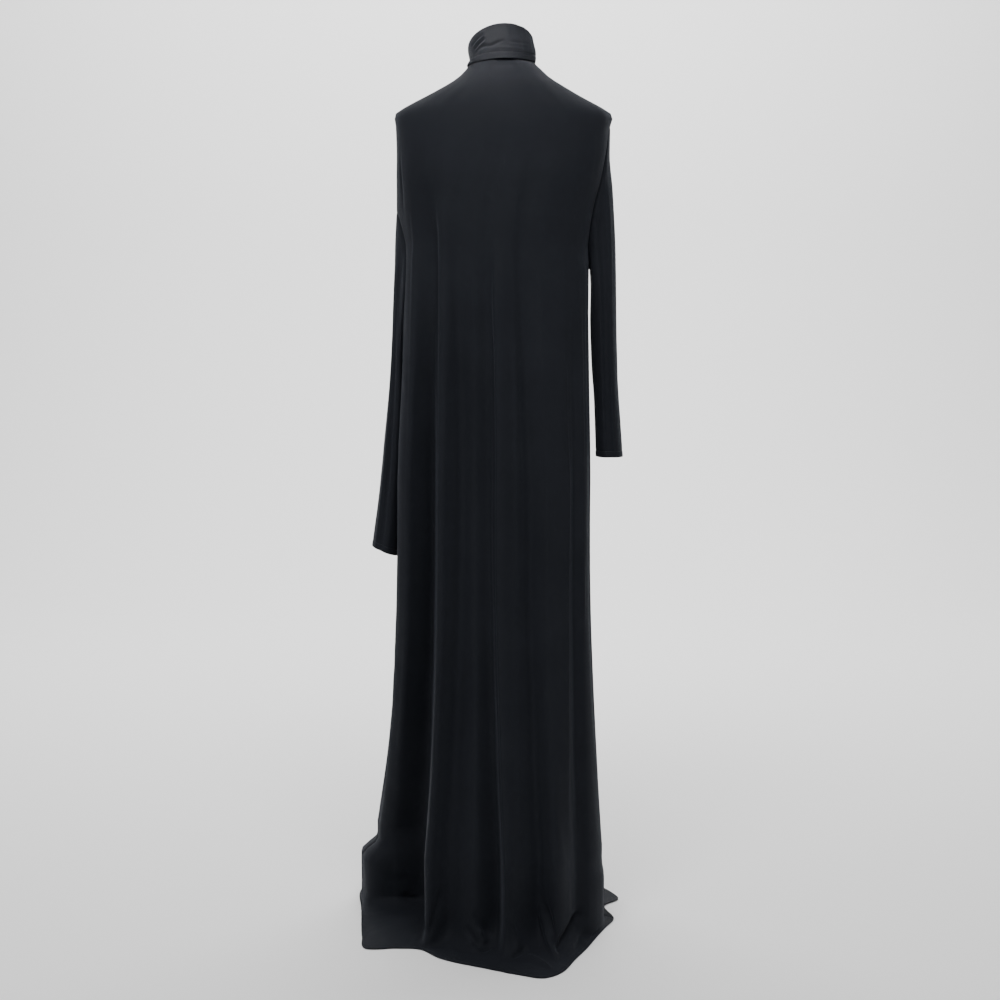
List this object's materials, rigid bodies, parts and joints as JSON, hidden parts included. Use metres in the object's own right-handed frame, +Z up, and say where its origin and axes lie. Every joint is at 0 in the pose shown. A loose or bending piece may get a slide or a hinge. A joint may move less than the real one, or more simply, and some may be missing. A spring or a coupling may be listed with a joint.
{
  "type": "long-sleeved maxi dress",
  "caption": "Dark jersey maxi dress with long sleeves, a turned-down roll collar, an uneven dropped left shoulder, hanging folds and a hem that puddles on the floor.",
  "frame": {"origin": "centre of the neck base, where a wearer's neck and shoulders hold the dress, 1.5 m above the floor the hem lies on", "axes": "+Z up along the dress's length, +Y towards its front, +X towards the wearer's right, which is the slim set-in sleeve's side"},
  "size_m": [0.483, 0.571, 1.5703],
  "materials": {
    "jersey": "fine matt knit with a soft sheen"
  },
  "bodies": {
    "root": {"back_panel": "jersey", "front_panel": "jersey", "right_sleeve": "jersey", "left_sleeve": "jersey", "collar": "jersey"}
  },
  "joints": []
}
